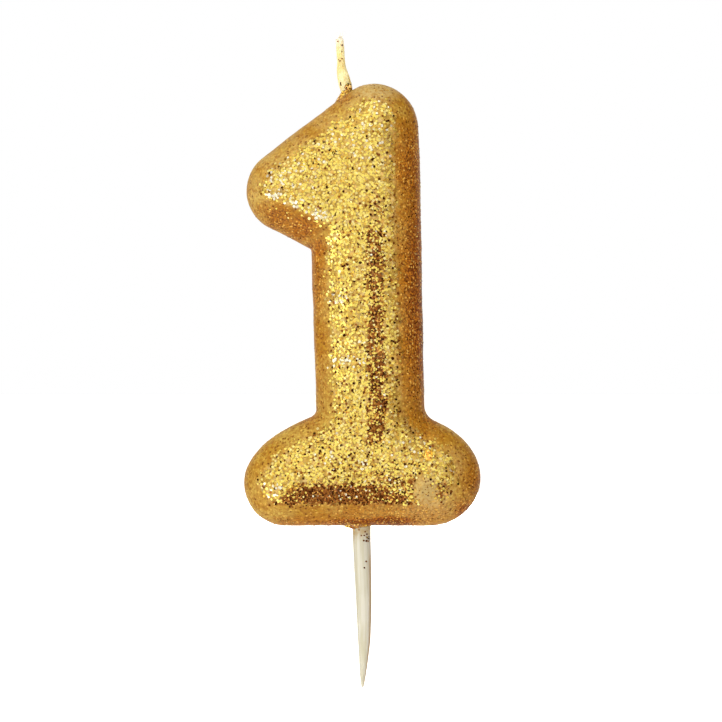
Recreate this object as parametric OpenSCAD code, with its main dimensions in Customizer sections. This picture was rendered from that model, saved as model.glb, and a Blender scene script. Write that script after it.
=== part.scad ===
// Number one birthday candle: a puffy moulded wax numeral with a glitter coat,
// a plaited wick that leaves its sloping shoulder, and a cake pick under its foot.
// Front faces -Y. The origin is on the pick's axis, level with the underside of the foot.

/* [Numeral] */
// Height of the moulded numeral, without wick and pick
body_h = 70; // [66:1:74]
// Depth of the numeral, from front plateau to back plateau
body_t = 13; // [12:0.5:14]
// Width of the foot, from lobe to lobe
foot_w = 37.5; // [36.9:0.2:38.5]
// Width of the stem where it meets the foot
stem_w = 17.1; // [16:0.1:18]
// Radius of the head, which is the top of the stem
head_r = 6.9; // [6.5:0.1:7.2]
// Radius of the nose, which is the tip of the flag
nose_r = 6.6; // [6.2:0.1:7]
// Distance from the pick's axis to the tip of the nose
nose_reach = 18.3; // [17.5:0.1:19]
// Depth of the nose's centre below the top of the numeral
nose_drop = 16.9; // [16:0.1:18]
// Width of the rounded rim between the outline and the plateau
rim_w = 5.2; // [4.6:0.1:5.4]

/* [Glitter coat] */
// Thickness of the lacquer
coat_t = 0.3; // [0.2:0.05:0.4]
// Half the width of a glitter flake, across its corners
flake_r = 0.23; // [0.15:0.01:0.28]
// Thickness of a glitter flake
flake_t = 0.03; // [0.02:0.01:0.05]
// Flakes that lie flat on each plateau
flake_count = 110; // [40:10:130]

/* [Wick] */
// Height of the wick's cut end above the top of the numeral
wick_h = 8.1; // [6:0.1:12]
// Radius of one cotton ply
ply_r = 0.175; // [0.15:0.005:0.18]
// Length of one full turn of the plait
plait_pitch = 4.5; // [4:0.1:6]
// Extra half width of the wax collar at the wick's root
collar_w = 0.42; // [0.1:0.02:0.5]

/* [Pick] */
// Radius of the pick's parallel part
pick_r = 1.4; // [1.3:0.05:1.6]
// Length of the pick below the foot
pick_l = 25.7; // [20:0.1:32]
// Length of the parallel part, before the taper to the point
pick_parallel = 6; // [5:0.5:8]
// Length of the ringed shank inside the wax
shank_l = 11; // [9:0.5:12.5]

/* [Hidden] */

amber_wax = "#D8A24A";
gold_lacquer = "#C8922E";
gold_foil = "#F2D560";
cotton = "#F4EFDC";
cream_wax = "#F7E7A0";
cream_plastic = "#E4DCC4";

// ---- outline of the numeral, as stations [x, z, angle of the outward normal] ----

arc_step = 11;
line_step = 2.4;
half_t = body_t / 2;

// Foot: a quarter circle at the lower left corner, a quarter ellipse at the lower right one,
// and a long elliptic shoulder above each.
// foot_shift sets the foot's middle a little to the right of the pick.
foot_shift = 0.03;
left_lobe_r = 6.8;
right_lobe_r = [8.2, 7.6];
left_end = foot_shift - foot_w / 2;
right_end = foot_shift + foot_w / 2;
left_shoulder = [33.4, 14.3];
right_shoulder = [15.2, 10.6];
left_centre = [left_end + left_shoulder.x, left_lobe_r];
right_centre = [right_end - right_shoulder.x, right_lobe_r.y];

// Stem: it leans a little to the left as it rises, and its feet stand on the shoulders.
stem_right_x = 9.9;
stem_left_x = stem_right_x - stem_w;
left_lean = 1.8;
left_foot_t = acos((stem_left_x - left_centre.x) / left_shoulder.x);
right_foot_t = acos((stem_right_x - right_centre.x) / right_shoulder.x);
left_foot = on_ellipse(left_centre, left_shoulder, left_foot_t);
right_foot = on_ellipse(right_centre, right_shoulder, right_foot_t);

// Fillets between stem and shoulders, given by how far they reach along the ellipse
left_join = 2;
right_join = 5.5;
left_join_t = left_foot_t + left_join;
right_join_t = right_foot_t - right_join;

// Flag: the head and the nose are circles with one tangent line over both.
head = [1.95, body_h - head_r];
nose = [nose_r - nose_reach, body_h - nose_drop];
slope_n = tangent_normal(nose, nose_r, head, head_r);
stem_right_n = tangent_normal(head, head_r, place(right_foot), 0);
stem_left_n = 180 + left_lean;
under_nose_n = 242.7;
notch_r = 0.5;
under_nose = nose + nose_r * unit(under_nose_n);
notch = crossing(under_nose, under_nose_n, place(left_foot), stem_left_n);

function unit(a) = [cos(a), sin(a)];
function place(station) = [station.x, station.y];

// Station on an axis-aligned ellipse at parameter t
function on_ellipse(c, r, t) = [c.x + r.x * cos(t), c.y + r.y * sin(t), ellipse_n(r, t)];
function ellipse_n(r, t) = atan2(sin(t) / r.y, cos(t) / r.x);

// Normal of the line that is tangent to two circles, on the left of the way from the first
function tangent_normal(c1, r1, c2, r2) =
    let(way = c2 - c1)
    atan2(way.y, way.x) + acos((r1 - r2) / norm(way));

// Point where two lines cross, each given by a point on it and its normal's angle
function crossing(p, a, q, b) =
    let(h = p * unit(a), k = q * unit(b), det = sin(b - a))
    [(h * sin(b) - k * sin(a)) / det, (k * cos(a) - h * cos(b)) / det];

function steps(from, to, step) = ceil(abs(to - from) / step);

function bulge(c, r, from, to) =
    let(n = steps(from, to, arc_step))
    [for (i = [0:n]) let(a = from + (to - from) * i / n) [c.x + r * cos(a), c.y + r * sin(a), a]];

// Stations of an elliptic stretch after its first end, which belongs to the stretch before it
function shoulder(c, r, from, to, step) =
    let(n = steps(from, to, step))
    [for (i = [1:n]) on_ellipse(c, r, from + (to - from) * i / n)];

// Fillet in a hollow corner p, between lines with the normals from and to
function hollow(p, r, from, to) =
    let(c = p + r * (unit(from) + unit(to)) / (1 + cos(to - from)), n = steps(from, to, arc_step))
    [for (i = [0:n]) let(a = from + (to - from) * i / n) [c.x - r * cos(a), c.y - r * sin(a), a]];

// Stations between the ends of a straight stretch, without the ends themselves
function between(p, q, a) =
    let(n = ceil(norm([q.x - p.x, q.y - p.y]) / line_step))
    [for (i = [1:1:n - 1]) [p.x + (q.x - p.x) * i / n, p.y + (q.y - p.y) * i / n, a]];

// Fillet from the stem's edge, through its foot, to the station on the shoulder where it ends
function foot_fillet(foot, stem_n, join) =
    let(corner = crossing(place(foot), stem_n, place(join), join[2]))
    hollow(corner, norm(place(join) - corner) / tan(abs(stem_n - join[2]) / 2), stem_n, join[2]);

function last(list) = list[len(list) - 1];

head_left = bulge(head, head_r, 90, slope_n);
nose_round = bulge(nose, nose_r, slope_n, under_nose_n);
notch_round = hollow(notch, notch_r, under_nose_n, stem_left_n);
left_foot_round = foot_fillet(left_foot, stem_left_n,
    on_ellipse(left_centre, left_shoulder, left_join_t));
left_top = shoulder(left_centre, left_shoulder, left_join_t, 180, arc_step / 2);
left_lobe = bulge([left_end + left_lobe_r, left_lobe_r], left_lobe_r, 180 + arc_step, 270);

head_right = bulge(head, head_r, 90 - arc_step, stem_right_n);
right_foot_round = foot_fillet(right_foot, stem_right_n,
    on_ellipse(right_centre, right_shoulder, right_join_t));
right_top = shoulder(right_centre, right_shoulder, right_join_t, 0, arc_step / 2);
right_lobe = shoulder([right_end - right_lobe_r.x, right_lobe_r.y], right_lobe_r, 0, -90, arc_step);

// Both sides run down from the top. The flat underside belongs to the left one.
left_side = concat(
    head_left, between(last(head_left), nose_round[0], slope_n),
    nose_round, between(last(nose_round), notch_round[0], under_nose_n),
    notch_round, between(last(notch_round), left_foot_round[0], stem_left_n),
    left_foot_round, left_top,
    left_lobe, between(last(left_lobe), last(right_lobe), -90));
right_side = concat(
    head_right, between(last(head_right), right_foot_round[0], stem_right_n),
    right_foot_round, right_top, right_lobe);

left_n = len(left_side);
right_n = len(right_side);
ring_n = left_n + right_n;
outline = concat(left_side, [for (i = [1:right_n]) right_side[right_n - i]]);

// ---- the puffy solid ----

rim_steps = 6;

// Angle along the rim, from the front plateau at -90 over the outline at 0 to the back at 90
function rim_angle(k) = -90 + 90 * k / rim_steps;

// Point of an outline station at a rim angle, on the surface that lies gap under the outside
function rim_point(s, gap, angle) =
    let(inset = rim_w - (rim_w - gap) * cos(angle))
    [s[0] - inset * cos(s[2]), (half_t - gap) * sin(angle), s[1] - inset * sin(s[2])];

// Triangles that fill the plateau, from the left side to the right side, working down
function fill(i, j) =
    (i == left_n - 1 && j == right_n - 1) ? [] :
    let(
        left_next = (i < left_n - 1) ? inset_z(left_side[i + 1]) : -1,
        right_next = (j < right_n - 1) ? inset_z(right_side[j + 1]) : -1,
        go_left = j == right_n - 1 || (i < left_n - 1 && left_next >= right_next - 0.001),
        far = go_left ? i + 1 : ring_n - 2 - j
    )
    concat([[i, far, ring_n - 1 - j]], go_left ? fill(i + 1, j) : fill(i, j + 1));
function inset_z(s) = s[1] - rim_w * sin(s[2]);

plateau = fill(0, 0);

module puffy_numeral(gap) {
    rings = 2 * rim_steps;
    points = [for (k = [0:rings]) for (s = outline) rim_point(s, gap, rim_angle(k))];
    front = [for (t = plateau) [t[2], t[1], t[0]]];
    back = [for (t = plateau) [for (i = t) i + rings * ring_n]];
    rim = [for (k = [0:rings - 1]) for (i = [0:ring_n - 1])
        let(a = k * ring_n + i, b = k * ring_n + (i + 1) % ring_n)
        for (t = [[a, b, b + ring_n], [a, b + ring_n, a + ring_n]]) t];
    polyhedron(points = points, faces = concat(front, rim, back));
}

// ---- the wick's route and section ----

wick_foot_z = 16;
wick_tip_z = body_h + wick_h;
sheath_tip_z = wick_tip_z - 0.9;
root_x = -2.3;
root_z = body_h - 1.7;
inner_lean = 0.055;
bend = 0.75;
bend_z = body_h + 0.4;
bend_l = 0.9;
collar_z = body_h + 0.2;
collar_l = 1.9;
sheath_half = [0.64, 0.56];
bore_half = [0.56, 0.46];
plait_half = [0.35, 0.215];
section_n = 12;
ply_n = 6;
ply_floor_t = 0.3;

// The wick leans steadily inside the wax, and bends left just above its root
function wick_x(z) =
    root_x - inner_lean * (z - root_z) - bend / (1 + exp((bend_z - z) / bend_l));

function collar(z) = collar_w * exp(-pow((z - collar_z) / collar_l, 2));

function oval(z, half, n) =
    [for (i = [0:n - 1]) let(a = 360 * i / n) [wick_x(z) + half.x * cos(a), half.y * sin(a), z]];

// Heights of the sheath's rings: wide apart in the straight part, close in the bend
bend_start = body_h - 4;
sheath_z = concat(
    [for (i = [0:5]) wick_foot_z + (bend_start - wick_foot_z) * i / 6],
    [for (i = [0:16]) bend_start + (sheath_tip_z - bend_start) * i / 16]);

// Side faces between ring a and the ring b above it, seen from outside
function band(a, b, n) =
    [for (i = [0:n - 1]) let(j = (i + 1) % n) for (t = [[a + i, b + i, b + j], [a + i, b + j, a + j]]) t];
function inward(faces) = [for (f = faces) [f[2], f[1], f[0]]];
function fan(first, n) = [for (i = [1:n - 2]) [first, first + i, first + i + 1]];

// Rings of points on the outside of the sheath. The collar is flatter than it is wide.
collar_shape = [1, 0.6];
sheath_points =
    [for (z = sheath_z) each oval(z, sheath_half + collar_shape * collar(z), section_n)];

// The sheath without its bore, which cuts the channel in wax and coat
module wick_core() {
    m = len(sheath_z);
    polyhedron(
        points = sheath_points,
        faces = concat(
            fan(0, section_n),
            [for (k = [0:m - 2]) each band(k * section_n, (k + 1) * section_n, section_n)],
            inward(fan((m - 1) * section_n, section_n))));
}

// One ply of the plait: its centre swings once sideways and twice fore and aft in a pitch
module ply(phase, top_drop) {
    rings_per_pitch = 12;
    foot = wick_foot_z + ply_floor_t;
    top = wick_tip_z - top_drop;
    m = ceil((top - foot) / plait_pitch * rings_per_pitch);
    heights = [for (k = [0:m]) foot + (top - foot) * k / m];
    polyhedron(
        points = [for (z = heights)
            let(t = 360 * z / plait_pitch + phase)
            for (i = [0:ply_n - 1])
            let(a = 360 * i / ply_n)
            [wick_x(z) + plait_half.x * sin(t) + ply_r * cos(a),
             plait_half.y * sin(2 * t) + ply_r * sin(a),
             z]],
        faces = concat(
            fan(0, ply_n),
            [for (k = [0:m - 1]) each band(k * ply_n, (k + 1) * ply_n, ply_n)],
            inward(fan(m * ply_n, ply_n))));
}

// ---- the pick's profile ----

shank_r = 1.1;
shank_end_r = 0.66;
shank_end_l = 0.7;
ring_r = 1.5;
ring_pitch = 3;
ring_first = 2;
ring_back = 0.3;
ring_slope = 1;
overrun = 1;
taper_steps = 14;

// Radius along the taper, from 1 at the parallel part to 0 at the point
function taper(u) = (1 - 0.3 * u) * pow(1 - pow(u, 4), 0.8);

// Half section of the shank: saw-tooth rings that hold it in the wax
function shank_profile() = concat(
    [[0, shank_l], [shank_end_r, shank_l], [shank_r, shank_l - shank_end_l]],
    [for (z = [shank_l - ring_first : -ring_pitch : ring_first])
        each [[shank_r, z + ring_back], [ring_r, z], [shank_r, z - ring_slope]]]);

// ---- pieces ----

module pick_shank() {
    rotate_extrude($fn = 64)
        polygon(concat(shank_profile(), [[shank_r, -overrun], [0, -overrun]]));
}

module wax_body() {
    color(amber_wax)
        difference() {
            puffy_numeral(coat_t);
            wick_core();
            pick_shank();
        }
}

module glitter_coat() {
    color(gold_lacquer)
        difference() {
            puffy_numeral(0);
            puffy_numeral(coat_t);
            wick_core();
            pick_shank();
        }
}

module flake(x, y, z, spin) {
    translate([x, y, z])
        rotate([90, spin, 0])
            cylinder(h = flake_t, r = flake_r, $fn = 6);
}

// Flakes spread evenly, without a grid, over the plateau between its two edges
flake_low = rim_w + 0.6;
flake_high = body_h - rim_w - 1.2;
flake_margin = 0.5;
spread_z = 0.75488;
spread_x = 0.56984;
spin_step = 37;
left_edge = [for (s = left_side) [inset_z(s), s[0] - rim_w * cos(s[2])]];
right_edge = [for (s = right_side) [inset_z(s), s[0] - rim_w * cos(s[2])]];
function share(i, step) = i * step - floor(i * step);

module flakes_on(y, first) {
    for (i = [first : first + flake_count - 1]) {
        z = flake_low + (flake_high - flake_low) * share(i, spread_z);
        low_x = lookup(z, left_edge) + flake_margin;
        high_x = lookup(z, right_edge) - flake_margin;
        flake(low_x + (high_x - low_x) * share(i, spread_x), y, z, i * spin_step);
    }
}

module glitter_flakes() {
    color(gold_foil) {
        flakes_on(-half_t, 1);
        flakes_on(half_t + flake_t, 1 + flake_count);
    }
}

module wick_ply_a() {
    color(cotton) ply(0, 0);
}

module wick_ply_b() {
    color(cotton) ply(120, 0.3);
}

module wick_ply_c() {
    color(cotton) ply(240, 0.15);
}

module wick_wax() {
    m = len(sheath_z);
    bore_z = concat([wick_foot_z + ply_floor_t], [for (k = [1:m - 1]) sheath_z[k]]);
    inner = m * section_n;
    top = (m - 1) * section_n;
    color(cream_wax)
        polyhedron(
            points = concat(sheath_points, [for (z = bore_z) each oval(z, bore_half, section_n)]),
            faces = concat(
                fan(0, section_n),
                [for (k = [0:m - 2]) each band(k * section_n, (k + 1) * section_n, section_n)],
                band(top, inner + top, section_n),
                [for (k = [0:m - 2])
                    each inward(band(inner + k * section_n, inner + (k + 1) * section_n, section_n))],
                inward(fan(inner, section_n))));
}

module pick() {
    color(cream_plastic)
        rotate_extrude($fn = 64)
            polygon(concat(
                shank_profile(),
                [[shank_r, 0], [pick_r, 0], [pick_r, -pick_parallel]],
                [for (i = [1:taper_steps]) let(u = i / taper_steps)
                    [pick_r * taper(u), -pick_parallel - (pick_l - pick_parallel) * u]]));
}

wax_body();
glitter_coat();
glitter_flakes();
wick_ply_a();
wick_ply_b();
wick_ply_c();
wick_wax();
pick();
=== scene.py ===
"""Looks of the number one birthday candle: a lacquered wax numeral full of gold glitter,
a waxed wick and a cream cake pick. Shapes are in millimetres, and make_mesh() turns them
into metres. The world, the lights, the floor and the camera are in metres."""

import math

import bpy
import numpy as np
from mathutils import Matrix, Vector, noise


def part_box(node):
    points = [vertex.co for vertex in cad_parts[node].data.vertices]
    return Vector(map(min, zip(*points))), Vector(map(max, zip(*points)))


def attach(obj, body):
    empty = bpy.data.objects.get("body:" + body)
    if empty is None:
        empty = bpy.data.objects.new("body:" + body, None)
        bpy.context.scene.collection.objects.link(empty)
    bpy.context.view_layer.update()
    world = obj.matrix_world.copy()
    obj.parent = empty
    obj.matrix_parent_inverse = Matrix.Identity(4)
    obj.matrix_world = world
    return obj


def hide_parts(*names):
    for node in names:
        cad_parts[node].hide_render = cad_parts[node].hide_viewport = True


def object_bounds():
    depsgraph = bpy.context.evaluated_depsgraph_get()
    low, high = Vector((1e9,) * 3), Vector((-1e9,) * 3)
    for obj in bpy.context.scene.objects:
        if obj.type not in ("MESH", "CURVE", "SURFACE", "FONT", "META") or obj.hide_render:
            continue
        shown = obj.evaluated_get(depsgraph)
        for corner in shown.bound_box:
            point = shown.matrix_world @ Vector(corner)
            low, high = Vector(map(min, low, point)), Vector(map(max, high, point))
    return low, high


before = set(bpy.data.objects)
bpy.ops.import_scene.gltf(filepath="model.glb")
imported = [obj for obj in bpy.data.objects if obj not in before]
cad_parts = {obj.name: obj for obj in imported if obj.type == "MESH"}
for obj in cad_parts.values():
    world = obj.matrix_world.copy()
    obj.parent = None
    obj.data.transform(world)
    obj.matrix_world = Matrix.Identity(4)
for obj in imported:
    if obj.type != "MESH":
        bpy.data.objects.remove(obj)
cad_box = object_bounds()
MM = 0.001
rng = np.random.default_rng(11)


def box_mm(node):
    """Lowest and highest corner of a CAD node."""
    low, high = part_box(node)
    return np.array(low) / MM, np.array(high) / MM


coat_low, coat_high = box_mm("glitter_coat")
pick_low, pick_high = box_mm("pick")
sheath_low, sheath_high = box_mm("wick_wax")
BODY_H = coat_high[2] - coat_low[2]
HALF_T = (coat_high[1] - coat_low[1]) / 2
# Width of the numeral's round rim in the front view
RIM_W = 5.2


# ---- outline of the numeral, the same construction as the CAD part's ----

def unit(deg):
    """Direction in the front view, anticlockwise from +X."""
    return np.array([math.cos(math.radians(deg)), math.sin(math.radians(deg))])


def turns(count):
    """Angles at so many equal steps round a full turn."""
    return np.linspace(0, 2 * math.pi, count, endpoint=False)


def arc(centre, radii, start, end, step=2.5):
    """Points of a circle or an ellipse from one angle to another, in degrees."""
    n = max(2, math.ceil(abs(end - start) / step))
    a = np.radians(np.linspace(start, end, n + 1))
    rx, rz = np.broadcast_to(radii, 2)
    return np.stack([centre[0] + rx * np.cos(a), centre[1] + rz * np.sin(a)], 1)


def tangent_normal(c1, r1, c2, r2):
    """Angle of the normal of the line that is tangent to two circles."""
    way = np.subtract(c2, c1)
    return math.degrees(math.atan2(way[1], way[0]) + math.acos((r1 - r2) / math.hypot(*way)))


def crossing(p, a, q, b):
    """Where the line through p with normal angle a meets the one through q with angle b."""
    return np.linalg.solve(np.array([unit(a), unit(b)]), [np.dot(p, unit(a)), np.dot(q, unit(b))])


def hollow(corner, r, start, end):
    """Fillet of radius r in a hollow corner between lines with the normals start and end."""
    c = corner + r * (unit(start) + unit(end)) / (1 + math.cos(math.radians(end - start)))
    return arc(c, -r, start, end)


def foot_fillet(foot, stem_n, centre, radii, join_t):
    """Fillet from the stem's side onto the quarter ellipse of the foot, which it joins at join_t."""
    t = math.radians(join_t)
    join = np.array([centre[0] + radii[0] * math.cos(t), centre[1] + radii[1] * math.sin(t)])
    join_n = math.degrees(math.atan2(math.sin(t) / radii[1], math.cos(t) / radii[0]))
    corner = crossing(foot, stem_n, join, join_n)
    reach = math.hypot(*(join - corner))
    return hollow(corner, reach / math.tan(math.radians(abs(stem_n - join_n) / 2)), stem_n, join_n)


def outline():
    """The numeral's silhouette as one closed ring of points, anticlockwise from the top."""
    left_end, right_end = coat_low[0], coat_high[0]
    left_lobe_r, right_lobe_r = 6.8, (8.2, 7.6)
    left_shoulder, right_shoulder = (33.4, 14.3), (15.2, 10.6)
    left_c = (left_end + left_shoulder[0], left_lobe_r)
    right_c = (right_end - right_shoulder[0], right_lobe_r[1])
    stem_right_x, stem_w, left_lean = 9.9, 17.1, 1.8
    head_r, nose_r = 6.9, 6.6
    head = (1.95, BODY_H - head_r)
    nose = (-11.7, BODY_H - 16.9)

    left_t = math.degrees(math.acos((stem_right_x - stem_w - left_c[0]) / left_shoulder[0]))
    right_t = math.degrees(math.acos((stem_right_x - right_c[0]) / right_shoulder[0]))
    left_foot = arc(left_c, left_shoulder, left_t, left_t + 1)[0]
    right_foot = arc(right_c, right_shoulder, right_t, right_t + 1)[0]
    slope_n = tangent_normal(nose, nose_r, head, head_r)
    stem_right_n = tangent_normal(head, head_r, right_foot, 0)
    stem_left_n, under_n = 180 + left_lean, 242.7
    notch = crossing(np.add(nose, nose_r * unit(under_n)), under_n, left_foot, stem_left_n)
    left_join, right_join = left_t + 2, right_t - 7

    left = [
        arc(head, head_r, 90, slope_n),
        arc(nose, nose_r, slope_n, under_n),
        hollow(notch, 0.5, under_n, stem_left_n),
        foot_fillet(left_foot, stem_left_n, left_c, left_shoulder, left_join),
        arc(left_c, left_shoulder, left_join, 180)[1:],
        arc((left_end + left_lobe_r, left_lobe_r), left_lobe_r, 180, 270)[1:]]
    right = [
        arc((right_end - right_lobe_r[0], right_lobe_r[1]), right_lobe_r, -90, 0),
        arc(right_c, right_shoulder, 0, right_join)[1:],
        foot_fillet(right_foot, stem_right_n, right_c, right_shoulder, right_join)[::-1][1:],
        arc(head, head_r, stem_right_n, 90)[:-1]]
    return np.concatenate(left + right)


def resample(ring, step):
    """Points an even step apart along a closed ring."""
    closed = np.vstack([ring, ring[:1]])
    run = np.concatenate([[0], np.cumsum(np.hypot(*np.diff(closed, axis=0).T))])
    at = np.linspace(0, run[-1], int(run[-1] / step), endpoint=False)
    return np.stack([np.interp(at, run, closed[:, 0]), np.interp(at, run, closed[:, 1])], 1)


# Middle and half width of the stem, and how far its ridge lies to the right of the middle
STEM_MIDDLE, STEM_HALF = 1.35, 8.5
RIDGE_SHIFT = 1.3


class InsetField:
    """How far a point of the front view lies inside the outline, and which way is inward."""

    STEP, MARGIN = 0.15, 2.0
    # Where the ridges are rounded off: the blur, and the insets where it starts and is full
    BLUR, BLUR_FROM, BLUR_TO = 1.1, 3.0, 5.5

    def __init__(self, ring):
        self.low = ring.min(0) - self.MARGIN
        nx, nz = (np.ceil((ring.max(0) + self.MARGIN - self.low) / self.STEP)).astype(int) + 1
        x = self.low[0] + self.STEP * np.arange(nx)
        z = self.low[1] + self.STEP * np.arange(nz)
        px, pz = (g.ravel() for g in np.meshgrid(x, z, indexing="ij"))
        nearest = np.full(px.shape, 1e9)
        inside = np.zeros(px.shape, bool)
        for (ax, az), (bx, bz) in zip(ring, np.roll(ring, -1, 0)):
            ux, uz = bx - ax, bz - az
            t = np.clip(((px - ax) * ux + (pz - az) * uz) / (ux * ux + uz * uz), 0, 1)
            nearest = np.minimum(nearest, (px - ax - t * ux) ** 2 + (pz - az - t * uz) ** 2)
            if uz:
                inside ^= ((az > pz) != (bz > pz)) & (px < ax + (pz - az) * ux / uz)
        inset = np.where(inside, 1, -1) * np.sqrt(nearest)
        self.inset = inset.reshape(nx, nz)
        self.way = np.stack(np.gradient(self.inset, self.STEP), 2)
        self.x, self.z = x, z

    def puffed(self):
        """The same field with its ridges rounded off and the stem's ridge moved to the right,
        which is what the mould's puffy faces follow."""
        soft = blurred(self.inset, self.BLUR / self.STEP)
        share = smoothstep(self.inset, self.BLUR_FROM, self.BLUR_TO)
        mellow = self.inset * (1 - share) + soft * share
        # The ridge moves only along the stem, and fades out at its sides and its ends
        x, z = np.meshgrid(self.x, self.z, indexing="ij")
        across = np.clip(1 - ((x - STEM_MIDDLE) / STEM_HALF) ** 2, 0, 1)
        along = smoothstep(z, 12, 24) * smoothstep(z, BODY_H - 4, BODY_H - 16)
        other = InsetField.__new__(InsetField)
        other.low, other.x, other.z, other.inset = self.low, self.x, self.z, mellow
        other.way = self.way
        moved_x = x - RIDGE_SHIFT * across * along
        other.inset = other.at(moved_x.ravel(), z.ravel())[0].reshape(x.shape)
        other.way = np.stack(np.gradient(other.inset, self.STEP), 2)
        return other

    def at(self, x, z):
        """Inset and inward direction at many points."""
        fx = np.clip((x - self.low[0]) / self.STEP, 0, self.inset.shape[0] - 1.001)
        fz = np.clip((z - self.low[1]) / self.STEP, 0, self.inset.shape[1] - 1.001)
        i, j = fx.astype(int), fz.astype(int)
        u, v = fx - i, fz - j

        def blend(grid):
            a, b, c, d = grid[i, j], grid[i + 1, j], grid[i, j + 1], grid[i + 1, j + 1]
            w = [(1 - u) * (1 - v), u * (1 - v), (1 - u) * v, u * v]
            if grid.ndim == 3:
                w = [k[:, None] for k in w]
            return a * w[0] + b * w[1] + c * w[2] + d * w[3]

        return blend(self.inset), blend(self.way)


def smoothstep(x, low, high):
    """Smooth rise from 0 at low to 1 at high, or a fall where low is the higher of the two."""
    t = np.clip((x - low) / (high - low), 0, 1)
    return t * t * (3 - 2 * t)


def blurred(grid, sigma):
    """Gaussian blur of a grid, with its edge values carried on outside."""
    reach = int(3 * sigma)
    kernel = np.exp(-0.5 * (np.arange(-reach, reach + 1) / sigma) ** 2)
    kernel /= kernel.sum()
    for axis in (0, 1):
        grid = np.apply_along_axis(
            lambda row: np.convolve(np.pad(row, reach, mode="edge"), kernel, "valid"), axis, grid)
    return grid


ring = outline()
field = InsetField(ring)
puffy = field.puffed()


# ---- mesh helpers ----

def make_mesh(name, verts, faces, material, slot, smooth=True, replaces=(), **attributes):
    """A piece of the candle, from points in millimetres. Attributes are per-point floats."""
    mesh = bpy.data.meshes.new(name)
    mesh.from_pydata((np.asarray(verts) * MM).tolist(), [], [list(map(int, f)) for f in faces])
    mesh.update()
    mesh.polygons.foreach_set("use_smooth", [smooth] * len(mesh.polygons))
    for key, values in attributes.items():
        layer = mesh.attributes.new(key, "FLOAT", "POINT")
        layer.data.foreach_set("value", np.asarray(values, np.float32))
    mesh.materials.append(material)
    obj = bpy.data.objects.new(name, mesh)
    bpy.context.scene.collection.objects.link(obj)
    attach(obj, "root")
    if replaces:
        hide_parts(*replaces)


def loft(rings):
    """Points and faces of a closed tube through rings of the same number of points."""
    rings = np.asarray(rings)
    m, n, _ = rings.shape
    k, i = np.meshgrid(np.arange(m - 1), np.arange(n), indexing="ij")
    a, b = k * n + i, k * n + (i + 1) % n
    sides = np.stack([a, b, b + n, a + n], 2).reshape(-1, 4).tolist()
    return rings.reshape(-1, 3), sides + [list(range(n))[::-1], list(range((m - 1) * n, m * n))]


def lumps(points, size, seed):
    """Smooth noise from -1 to 1 with lumps of the given size."""
    shift = Vector((seed * 17.3, seed * 5.1, seed * 9.7))
    return np.array([noise.noise(Vector(p) / size + shift) for p in points.tolist()])


# ---- the puffy numeral ----

# The faces bulge like a rounded-off ellipse of this half width, half depth and power
BULGE_W = 8.4
BULGE_HALF = HALF_T - 0.05
BULGE_POWER = 2.2


def settle(points, rounds=6):
    """Moves points onto the moulded surface, along its steepest way."""
    p = points.copy()
    for _ in range(rounds):
        inset, way = puffy.at(p[:, 0], p[:, 2])
        e = np.clip((BULGE_W - inset) / BULGE_W, 0, None)
        value = e ** BULGE_POWER + (p[:, 1] / BULGE_HALF) ** 2 - 1
        inward = -BULGE_POWER * e ** (BULGE_POWER - 1) / BULGE_W
        slope = np.stack([inward * way[:, 0], 2 * p[:, 1] / BULGE_HALF ** 2, inward * way[:, 1]], 1)
        p -= slope * (value / np.maximum((slope ** 2).sum(1), 1e-4))[:, None]
    return p


def rough_body():
    """Rings of the outline, from the front plateau's edge over the rim to the back one."""
    stations = resample(ring, 0.6)
    inset, way = field.at(stations[:, 0], stations[:, 1])
    way /= np.maximum(np.hypot(way[:, 0], way[:, 1]), 1e-6)[:, None]
    rings = []
    for angle in np.radians(np.linspace(-84, 84, 15)):
        x, z = (stations + way * (RIM_W * (1 - math.cos(angle)))).T
        rings.append(np.stack([x, np.full(len(x), BULGE_HALF * math.sin(angle)), z], 1))
    return loft(rings)


def body_mesh(voxel=0.32):
    """Even quads over the whole numeral, settled on the moulded surface, in millimetres."""
    verts, faces = rough_body()
    mesh = bpy.data.meshes.new("rough")
    mesh.from_pydata(verts.tolist(), [], faces)
    rough = bpy.data.objects.new("rough", mesh)
    bpy.context.scene.collection.objects.link(rough)
    remesh = rough.modifiers.new("remesh", "REMESH")
    remesh.mode, remesh.voxel_size = "VOXEL", voxel
    dg = bpy.context.evaluated_depsgraph_get()
    fine = bpy.data.meshes.new_from_object(rough.evaluated_get(dg))
    bpy.data.objects.remove(rough)
    co = np.zeros(len(fine.vertices) * 3)
    fine.vertices.foreach_get("co", co)
    return settle(co.reshape(-1, 3)), [list(p.vertices) for p in fine.polygons]


def quads_of(faces):
    """Faces as rows of four points, where a triangle has its last point twice."""
    return np.array([f if len(f) == 4 else [*f, f[-1]] for f in faces])


def normals_of(verts, quads):
    a, b, c, d = (verts[quads[:, k]] for k in range(4))
    cross = np.cross(c - a, d - b)
    normal = np.zeros_like(verts)
    for k in range(4):
        np.add.at(normal, quads[:, k], cross)
    return normal / np.maximum(np.linalg.norm(normal, axis=1), 1e-9)[:, None]


# Where the lacquer has no flakes, on the front of the foot: middle and half widths
BARE = (9.9, 5.6, 2.0, 2.9)
# Which way the head's slope and the underside of the nose face in the front view
SLOPE_WAY, UNDER_NOSE_WAY = (-0.64, 0.77), (-0.46, -0.89)


def blobs(p, spots):
    """Strength from 0 to 1 of the nearest of some soft ellipses in the front view."""
    best = np.zeros(len(p))
    for (x, z), (wide, high), strength in spots:
        r = np.hypot((p[:, 0] - x) / wide, (p[:, 2] - z) / high)
        best = np.maximum(best, strength * smoothstep(r, 1.3, 0.3))
    return best


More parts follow.
